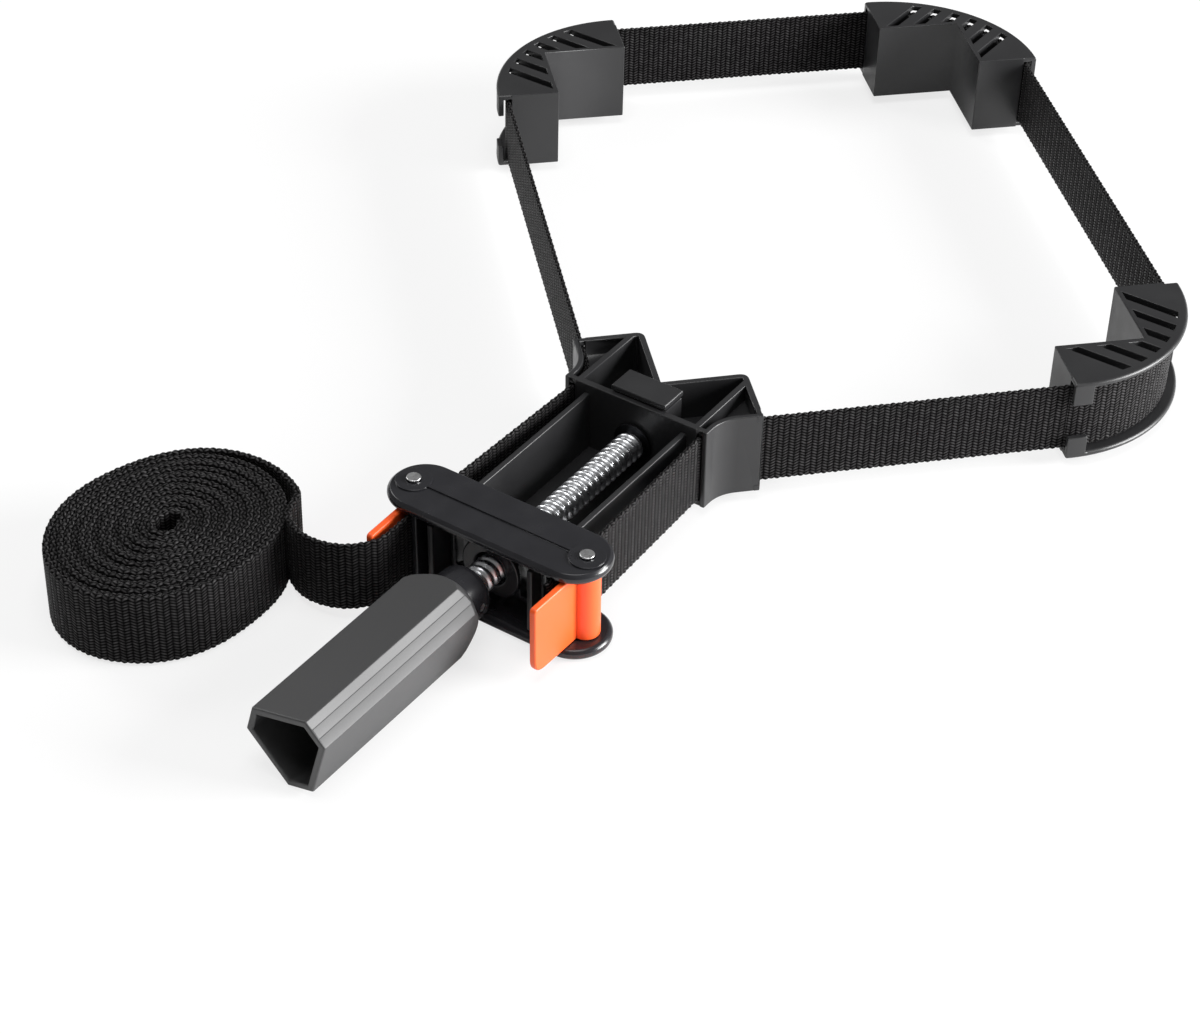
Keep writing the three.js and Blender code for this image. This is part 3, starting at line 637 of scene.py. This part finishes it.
def spun_thread():
    """A helix of the profile round the screw's axis, cut square at both ends and closed."""
    thread = bmesh.new()
    back = THREAD_START - PITCH
    row = [thread.verts.new(beside_screw(back + x, 0, SCREW_UP + r)) for x, r in profile]
    edges = [thread.edges.new(pair) for pair in zip(row, row[1:])]
    turns = math.ceil((THREAD_END - THREAD_START) / PITCH) + 2
    bmesh.ops.spin(
        thread, geom=row + edges, cent=axis_start, axis=along_screw,
        dvec=along_screw * PITCH * MM / STEPS, angle=math.tau * turns, steps=STEPS * turns,
        use_merge=False,
    )
    bmesh.ops.remove_doubles(thread, verts=thread.verts, dist=0.01 * MM)
    for place, way in ((THREAD_START, -1), (THREAD_END, 1)):
        bmesh.ops.bisect_plane(
            thread, geom=thread.verts[:] + thread.edges[:] + thread.faces[:], dist=1e-7,
            plane_co=beside_screw(place, 0, SCREW_UP), plane_no=along_screw * way, clear_outer=True,
        )
    bmesh.ops.holes_fill(thread, edges=[edge for edge in thread.edges if edge.is_boundary])
    bmesh.ops.recalc_face_normals(thread, faces=thread.faces)
    return thread


thread = spun_thread()
journal_place = Matrix.Translation(Vector((JOURNAL_MIDDLE, 0, SCREW_UP)) * MM)
bmesh.ops.create_cone(
    thread, cap_ends=True, segments=JOURNAL_STEPS, radius1=JOURNAL_RADIUS * MM,
    radius2=JOURNAL_RADIUS * MM, depth=JOURNAL_LENGTH * MM,
    matrix=TENSIONER @ journal_place @ Matrix.Rotation(math.pi / 2, 4, "Y"),
)
screw = bpy.data.objects.new("screw_piece", bpy.data.meshes.new("screw_piece"))
thread.to_mesh(screw.data)
print(f"thread of {len(thread.faces)} faces")
thread.free()
screw.data.shade_smooth()
screw.data.materials.append(zinc_steel)
bpy.context.scene.collection.objects.link(screw)
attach(screw, "screw_and_handle")
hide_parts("screw")

# %% [markdown]
# ## Webbing
#
# The strap is woven webbing, 25 mm wide. Its yarns run along the strap and float over two weft
# threads at a time, leaning one way in one column and the other way in the next, so the face shows
# columns of small chevrons. Every float is raised in the mesh, and the selvedge is knuckled. The
# material paints shade into the pits between the floats and a painted highlight on their crowns,
# and splits each float into finer threads. It reads a UV map that counts columns along the strap
# and yarns across it, so it follows the mesh.

# %% Weave for the material
COLUMN = 1.95  # millimetres of strap from one row of weft to the next
LEAN = 0.8  # yarns that a float leans over in one column
YARN_ROUND, COLUMN_ROUND = 0.9, 0.35  # the less, the blunter a float is across and along

weave, weave_in, weave_out = new_group(
    "webbing_floats",
    [("UV", "Vector", None), ("Lean", "Float", LEAN), ("Twist", "Float", 4.0)],
    [("Height", "Float", None), ("Crown", "Float", None), ("Worn", "Float", None)],
)
split = weave.nodes.new("ShaderNodeSeparateXYZ")
weave.links.new(weave_in.outputs["UV"], split.inputs[0])


def half_waves(count):
    """A socket that rises to 1 and falls to 0 again for every whole number that is counted."""
    angle = sum_node(weave, "MULTIPLY", count, math.pi)
    return sum_node(weave, "ABSOLUTE", sum_node(weave, "SINE", angle))


column = sum_node(weave, "FLOOR", split.outputs["X"])
in_column = sum_node(weave, "FRACT", split.outputs["X"])
odd = sum_node(weave, "MODULO", sum_node(weave, "ABSOLUTE", column), 2.0)
side = sum_node(weave, "MULTIPLY_ADD", odd, 2.0, -1.0)
off_middle = sum_node(weave, "SUBTRACT", in_column, 0.5)
slant = sum_node(weave, "MULTIPLY", off_middle, weave_in.outputs["Lean"])
yarn = sum_node(weave, "MULTIPLY_ADD", slant, side, split.outputs["Y"])
crown = sum_node(
    weave, "MULTIPLY",
    sum_node(weave, "POWER", half_waves(yarn), YARN_ROUND),
    sum_node(weave, "POWER", half_waves(in_column), COLUMN_ROUND),
)
# Each float is a bundle of finer threads, and each catches the light a little differently.
threads = half_waves(sum_node(weave, "MULTIPLY", yarn, weave_in.outputs["Twist"]))
own = weave.nodes.new("ShaderNodeTexWhiteNoise")
own.noise_dimensions = "2D"
cell = weave.nodes.new("ShaderNodeCombineXYZ")
weave.links.new(column, cell.inputs["X"])
weave.links.new(sum_node(weave, "FLOOR", yarn), cell.inputs["Y"])
weave.links.new(cell.outputs["Vector"], own.inputs["Vector"])
weave.links.new(sum_node(weave, "MULTIPLY_ADD", threads, 0.08, crown), weave_out.inputs["Height"])
weave.links.new(crown, weave_out.inputs["Crown"])
weave.links.new(own.outputs["Value"], weave_out.inputs["Worn"])
print(f"{weave.name}: {len(weave.nodes)} nodes")

# %% Webbing material
webbing, cloth = finish("webbing", (0.02, 0.02, 0.022), 0.55)
cloth.inputs["Sheen Weight"].default_value = 0.08
cloth.inputs["Sheen Roughness"].default_value = 0.4
tree = webbing.node_tree
floats = place_group(webbing, weave)
uv = tree.nodes.new("ShaderNodeUVMap")
uv.uv_map = "weave"
tree.links.new(uv.outputs["UV"], floats.inputs["UV"])
worn = sum_node(tree, "MULTIPLY_ADD", floats.outputs["Worn"], 0.5, 0.6)
# Painted light: the crowns of the floats are painted lighter as a painted highlight, and the pits
# between them near black as painted shade. A random wear of each float scales both.
painted_crown_light_and_wear = sum_node(tree, "MULTIPLY", sum_node(tree, "POWER", floats.outputs["Crown"], 2.8), worn)
painted_weave_shade_and_light = tint(tree, painted_crown_light_and_wear, (0.0007, 0.0006, 0.0007), (0.024, 0.022, 0.023))
tree.links.new(painted_weave_shade_and_light, cloth.inputs["Base Color"])
tree.links.new(sum_node(tree, "MULTIPLY", painted_crown_light_and_wear, 0.5), cloth.inputs["Specular IOR Level"])
relief(tree, cloth, floats.outputs["Height"], 0.8, 0.25 * MM)
print(f"{webbing.name}: {len(tree.nodes)} nodes")

# %% [markdown]
# The strap is one band that runs from its cut end at the right cam, round the work and back past
# the left cam to the roll. It is drawn in lengths, because each length moves with a different part.
# A length starts as a flat grid. Its rows are laid along the path, four to a column of the weave,
# and its columns are wrapped round the section of the strap, two to a yarn. On the faces the grid
# is sheared to follow the lean of the floats, so that a few faces are enough to raise every float.

# %% Section of the strap
STRAP_WIDTH = 25.0
STRAP_THICK = 1.5
FACE_YARNS = 21
EDGE_YARNS = 2
YARN = (STRAP_WIDTH - STRAP_THICK) / FACE_YARNS


def section(fine):
    """Points round the strap: yarns so far, the face (0, 2) or edge (1, 3), and the share of it."""
    ring, gone = [], 0.0
    for part in range(4):
        yarns = EDGE_YARNS if part % 2 else FACE_YARNS
        steps = 3 * yarns if part % 2 else 2 * yarns if fine else 2
        ring += [(gone + yarns * step / steps, part, step / steps) for step in range(steps)]
        gone += yarns
    return ring + [(gone, 0, 0.0)]


RINGS = {fine: section(fine) for fine in (True, False)}
print({fine: len(ring) for fine, ring in RINGS.items()}, "points round the section")

# %% Float of the weave
SAMPLES = 4  # rows of the grid for each column of the weave
FLOAT_DEPTH = 0.24  # a float stands this far above the pits between floats
FLOAT_ENDS = 0.45  # share of its height that a float keeps at its ends
FADE = 0.1  # the lean fades out over this share of a face at either edge
SELVEDGE = 0.32  # the edges dip this far between columns
SELVEDGE_BLUNT = 0.6  # the less, the squarer the edge
KNUCKLE = 0.2  # and swing this far from side to side with every column


def on_section(columns, yarns, part, share, thick):
    """Across, out and the map's yarn count for one point of the grid, in millimetres."""
    in_column = columns % 1
    side = 1 if int(columns) % 2 else -1
    swell = abs(math.sin(math.pi * in_column))
    sign = 1 if part < 2 else -1
    if part % 2:
        angle = math.pi * (0.5 - share)
        blunt = math.cos(angle) ** SELVEDGE_BLUNT if 0 < share < 1 else 0.0
        reach = STRAP_THICK / 2 + SELVEDGE * (swell - 1)
        wide = (STRAP_WIDTH - STRAP_THICK) / 2 + blunt * reach
        out = math.sin(angle) * (thick / 2 - FLOAT_DEPTH * (1 - swell))
        out += sign * KNUCKLE * swell * side * math.cos(angle)
        return sign * wide, sign * out, yarns
    fade = min(share, 1 - share, FADE) / FADE
    shift = -side * LEAN * (in_column - 0.5) * fade
    ridge = abs(math.sin(math.pi * (yarns + shift + side * LEAN * (in_column - 0.5))))
    wide = (share - 0.5) * (STRAP_WIDTH - STRAP_THICK) + shift * YARN
    height = ridge ** YARN_ROUND * (FLOAT_ENDS + (1 - FLOAT_ENDS) * swell)
    out = thick / 2 + FLOAT_DEPTH * (height - 1)
    return sign * wide, sign * out, yarns + shift


# %% Lay a length of strap along a path
NEAR_END = 0.2  # no row comes closer to an end of the path than this share of a step


def rows_of(path, start):
    """Points on a path of (x, y, low, thick), with the way along and the distance, at every row."""
    path = [Vector((*point, STRAP_THICK)[:4]) for point in path]
    ends = [0.0]
    for before, after in zip(path, path[1:]):
        ends.append(ends[-1] + (after.xy - before.xy).length)
    step = COLUMN / SAMPLES
    first = math.ceil(start / step + NEAR_END)
    stops = [0.0]
    while first * step - start < ends[-1] - NEAR_END * step:
        stops.append(first * step - start)
        first += 1
    rows, piece = [], 0
    for here in stops + [ends[-1]]:
        while piece < len(path) - 2 and ends[piece + 1] < here:
            piece += 1
        share = (here - ends[piece]) / (ends[piece + 1] - ends[piece])
        rows.append((path[piece].lerp(path[piece + 1], share), here))
    pairs = zip(rows[:1] + rows, rows[1:] + rows[-1:])
    ways = [(after[0] - before[0]).xy.normalized() for before, after in pairs]
    return [(point, way, here) for (point, here), way in zip(rows, ways)], ends[-1]


def strap_length(name, path, start, body, node, fine=True):
    """A closed length of strap along the path, whose weave starts at that distance."""
    ring = RINGS[fine]
    rows, total = rows_of(path, start)
    last_row, last_ring = len(rows) - 1, len(ring) - 1
    band = bmesh.new()
    bmesh.ops.create_grid(band, x_segments=last_row, y_segments=last_ring, size=0.5)
    weave_map = band.loops.layers.uv.new("weave")
    places = {}
    for vertex in band.verts:
        point, way, here = rows[round((vertex.co.x + 0.5) * last_row)]
        columns = (start + here) / COLUMN
        spot = ring[round((vertex.co.y + 0.5) * last_ring)]
        wide, out, yarns = on_section(columns, *spot, point.w)
        places[vertex] = (columns, yarns)
        vertex.co = CORNER + Vector((
            point.x - way.y * out, point.y + way.x * out, point.z + STRAP_WIDTH / 2 + wide,
        )) * MM
    for face in band.faces:
        face.smooth = True
        for loop in face.loops:
            loop[weave_map].uv = places[loop.vert]
    bmesh.ops.remove_doubles(band, verts=band.verts, dist=0.001 * MM)
    bmesh.ops.holes_fill(band, edges=[edge for edge in band.edges if edge.is_boundary])
    bmesh.ops.recalc_face_normals(band, faces=band.faces)
    piece = bpy.data.objects.new(name, bpy.data.meshes.new(name))
    band.to_mesh(piece.data)
    band.free()
    piece.data.materials.append(webbing)
    bpy.context.scene.collection.objects.link(piece)
    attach(piece, body)
    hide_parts(node)
    return piece, start + total


# %% The strap's path, in millimetres from the corner of the work
LOW = 2.5  # lower edge of the strap above the underside of the jaws
WING_OFF, JAW_OFF = 20.8, 19.0  # the strap off the sides of the work at the block and at a jaw
BLOCK_END = 28.5 + 1.15  # the strap leaves the block here, just past the end of the notch
AT_PLATE, AT_CAM = 24.4, 26.3  # the strap off the screw at the cross plate and at a cam
PLATE_BACK, CAM_START, STUB_END = 16.15, 77.65, 102.5  # the same places along the screw
BEND_RADIUS = 16.0
ARC_STEPS = 60
LEG = JAW_LEG / MM
WIDTH, DEPTH = WORK_WIDTH / MM, WORK_DEPTH / MM


def tool(back, right):
    """The lower edge of a strap beside the screw, from the corner of the work in millimetres."""
    middle = (beside_screw(back, right, SCREW_UP) - CORNER) / MM
    return (middle.x, middle.y, middle.z - STRAP_WIDTH / 2)


def keeper_bend(side):
    """Round the bend beside the front block, from the cross plate to the side of the work."""
    centre_back = WING_OFF * math.sqrt(2) - AT_PLATE + BEND_RADIUS * (math.sqrt(2) - 1)
    points = [tool(PLATE_BACK, side * AT_PLATE)]
    for step in range(ARC_STEPS + 1):
        turn = math.pi / 4 * step / ARC_STEPS
        points.append(tool(
            centre_back - BEND_RADIUS * math.sin(turn),
            side * (AT_PLATE + BEND_RADIUS * (1 - math.cos(turn))),
        ))
    points.append((BLOCK_END, -WING_OFF, LOW) if side > 0 else (-WING_OFF, BLOCK_END, LOW))
    return points


def jaw_bend(corner_x, corner_y, turned):
    """Round a corner jaw. The bend is drawn for the back right jaw and turned to its corner."""
    points = []
    for step in range(ARC_STEPS + 1):
        turn = math.pi / 2 * (1 - step / ARC_STEPS)
        point = Vector((math.sin(turn), math.cos(turn))) * (LEG + JAW_OFF) - Vector((LEG, LEG))
        point.rotate(Matrix.Rotation(math.radians(turned), 2))
        points.append((corner_x + point.x, corner_y + point.y, LOW))
    return points


# %% Lay the strap round the work
RUN_GAP = 0.15  # the front run stops this far short of the bend
RIGHT, BACK = WIDTH + JAW_OFF, DEPTH + JAW_OFF
lengths = [
    ("strap_end_right", "crosshead", [tool(STUB_END, AT_CAM), tool(CAM_START, AT_CAM)]),
    ("strap_tool_right", "front_block", [tool(CAM_START, AT_CAM), tool(PLATE_BACK, AT_PLATE)]),
    ("strap_keeper_right", "front_block", keeper_bend(1)),
    ("strap_front", "front_block",
     [(BLOCK_END, -WING_OFF, LOW), (WIDTH - (LEG + RUN_GAP), -JAW_OFF, LOW)]),
    ("strap_front_right", "jaw_front_right", jaw_bend(WIDTH, 0, -90)),
    ("strap_right", "jaw_front_right", [(RIGHT, LEG, LOW), (RIGHT, DEPTH - LEG, LOW)]),
    ("strap_back_right", "jaw_back_right", jaw_bend(WIDTH, DEPTH, 0)),
    ("strap_back", "jaw_back_left", [(WIDTH - LEG, BACK, LOW), (LEG, BACK, LOW)]),
    ("strap_back_left", "jaw_back_left", jaw_bend(0, DEPTH, 90)),
    ("strap_left", "front_block",
     [(-JAW_OFF, DEPTH - LEG, LOW), (-WING_OFF, BLOCK_END, LOW)]),
    ("strap_keeper_left", "front_block", keeper_bend(-1)[::-1]),
    ("strap_tool_left", "front_block", [tool(PLATE_BACK, -AT_PLATE), tool(CAM_START, -AT_CAM)]),
]
straps, gone = {}, 0.0
for node, body, path in lengths:
    straps[node], gone = strap_length(node + "_piece", path, gone, body, node)
print(f"strap round the work and the tensioner: {gone:.0f} mm")

# %% [markdown]
# ## Spare strap
#
# Past the left cam the strap sags to the bench, turns away and lies in a flat roll on its edge.
# The roll is a spiral whose turns almost touch. Slow waves make the turns uneven and lift them a
# little off the bench, as in a strap that was rolled by hand. Only its outer turn shows its faces,
# so the turns inside are drawn without the floats.

# %% Shape of the roll
ROLL_X, ROLL_Y = -161.1, -39.0
ROLL_RADIUS, ROLL_PITCH, ROLL_TURNS = 36.5, 2.04, 16
ROLL_LONG, ROLL_LONG_TURN = 3.8, math.radians(39)  # how much longer it is one way, and that way
TURN_GAP = 0.1  # between the faces of two turns
CALM_RADIUS = 20  # the waves die away inside this radius
LEAVES = math.radians(14)  # where the strap leaves the roll
LOOSE, LOOSE_TURNS = 3.0, 0.22  # it stands off the roll by this much there, and for that long
BENCH = -CORNER.z / MM
LIFT = 0.45  # the middle height of the turns above the bench
# Each wave has a height, a count to the turn, a drift from turn to turn, and a start.
ROUND_WAVES = ((0.25, 3, 0.3, 0), (0.2, 5, -0.2, 2))
LIFT_WAVES = ((0.25, 0, 2.1, 1), (0.2, 1, 4.3, 0))


def waved(middle, waves, angle, turns):
    """A value with waves round its middle."""
    return sum((high * math.sin(count * angle + drift * turns + start)
                for high, count, drift, start in waves), middle)


def on_roll(turns):
    """A point on the roll, that many turns in from where the strap leaves it."""
    angle = LEAVES + turns * math.tau
    radius = ROLL_RADIUS - ROLL_PITCH * turns
    longer = 1 + ROLL_LONG / ROLL_RADIUS * math.cos(2 * (angle - ROLL_LONG_TURN))
    uneven = waved(0.0, ROUND_WAVES, angle, turns)
    radius = radius * longer + uneven * min(radius / CALM_RADIUS, 1)
    radius += LOOSE * max(0.0, 1 - turns / LOOSE_TURNS) ** 2
    x, y = ROLL_X + radius * math.cos(angle), ROLL_Y + radius * math.sin(angle)
    return (x, y, BENCH + waved(LIFT, LIFT_WAVES, angle, turns), ROLL_PITCH * longer - TURN_GAP)


# %% Shape of the tail
TAIL = [  # back and right of the notch
    (109.5, -26.4), (114.0, -27.3), (117.5, -29.4), (120.6, -32.6), (122.5, -36.8),
    (123.3, -42.0), (122.8, -48.0), (120.3, -54.3), (115.6, -60.2),
]
TAIL_STEPS = 12
LEADS_IN = 0.03  # turns of the roll that set the way in which the tail meets it
SINK_FROM = 0.25  # share of the tail that stays level before it sinks to the bench


def through(points, steps):
    """A smooth curve through all but the first and last of the points."""
    curve = []
    for a, b, c, d in zip(points, points[1:], points[2:], points[3:]):
        for step in range(steps):
            t = step / steps
            curve.append(0.5 * (
                2 * b + (c - a) * t + (2 * a - 5 * b + 4 * c - d) * t ** 2
                + (3 * b - a - 3 * c + d) * t ** 3
            ))
    return curve + [points[-2]]


def tail():
    """From the left cam to the roll, sinking to the bench on the way."""
    start = tool(CAM_START, -AT_CAM)
    leave = on_roll(0)
    knots = [start] + [tool(*place) for place in TAIL] + [leave[:3], on_roll(LEADS_IN)[:3]]
    curve = through([Vector(knot) for knot in knots], TAIL_STEPS)
    points = [start]
    for step, point in enumerate(curve):
        fall = min(max((step / (len(curve) - 1) - SINK_FROM) / (1 - SINK_FROM), 0), 1)
        fall *= fall * (3 - 2 * fall)
        low = point.z + (leave[2] - point.z) * fall
        points.append((point.x, point.y, low, STRAP_THICK + (leave[3] - STRAP_THICK) * fall))
    return points


# %% Lay the tail and the roll
TURN_STEPS = 120
OUTER_STEPS = 138  # of the coil's steps, drawn with every float
_, gone = strap_length("strap_tail_piece", tail(), gone, "crosshead", "strap_tail")
coil = [on_roll(step / TURN_STEPS) for step in range(ROLL_TURNS * TURN_STEPS + 1)]
outer, inner = coil[:OUTER_STEPS + 1], coil[OUTER_STEPS:]
_, gone = strap_length("strap_roll_piece", outer, gone, "crosshead", "strap_roll")
_, gone = strap_length(
    "strap_roll_inside_piece", inner, gone, "crosshead", "strap_roll", fine=False)
print(f"whole strap: {gone * MM:.2f} m")

# %% [markdown]
# ## Straight lengths of strap
#
# When a jaw or the crosshead moves in, the strap between it and the front block gets shorter. Here
# each straight length only gets a mesh of its own; it is not squashed.


# %% Give the straight lengths meshes of their own
def shorten(node, axis):
    """Gives a straight length a mesh of its own."""
    piece = straps[node]
    axis = Vector(axis).normalized()
    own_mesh(piece)


across_work, along_work = (1, 0, 0), (0, 1, 0)
runs = (  # each length, the joint that moves its far end, its way, and the end of it that stays
    ("strap_front", "jaw_front_right_slide", across_work, (BLOCK_END, -WING_OFF)),
    ("strap_left", "jaw_back_left_slide", along_work, (-WING_OFF, BLOCK_END)),
    ("strap_right", "jaw_back_left_slide", along_work, (WIDTH, LEG)),
    ("strap_back", "jaw_front_right_slide", across_work, (LEG, DEPTH)),
)
for node, joint, axis, (x, y) in runs:
    shorten(node, axis)
for node in ("strap_tool_right", "strap_tool_left"):
    shorten(node, along_screw)

# %% [markdown]
# ## Finish
#
# The box of the solids and the box of the finished model are printed side by side, so that any
# change that the dressing made to the size of the clamp shows.

# %% Print the sizes and finish
dressed_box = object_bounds()
boxes = {"solids": [list(c) for c in solids_box], "dressed": [list(c) for c in dressed_box]}
for title, box in boxes.items():
    print(f"box of the {title}", [round(value, 4) for corner in box for value in corner])
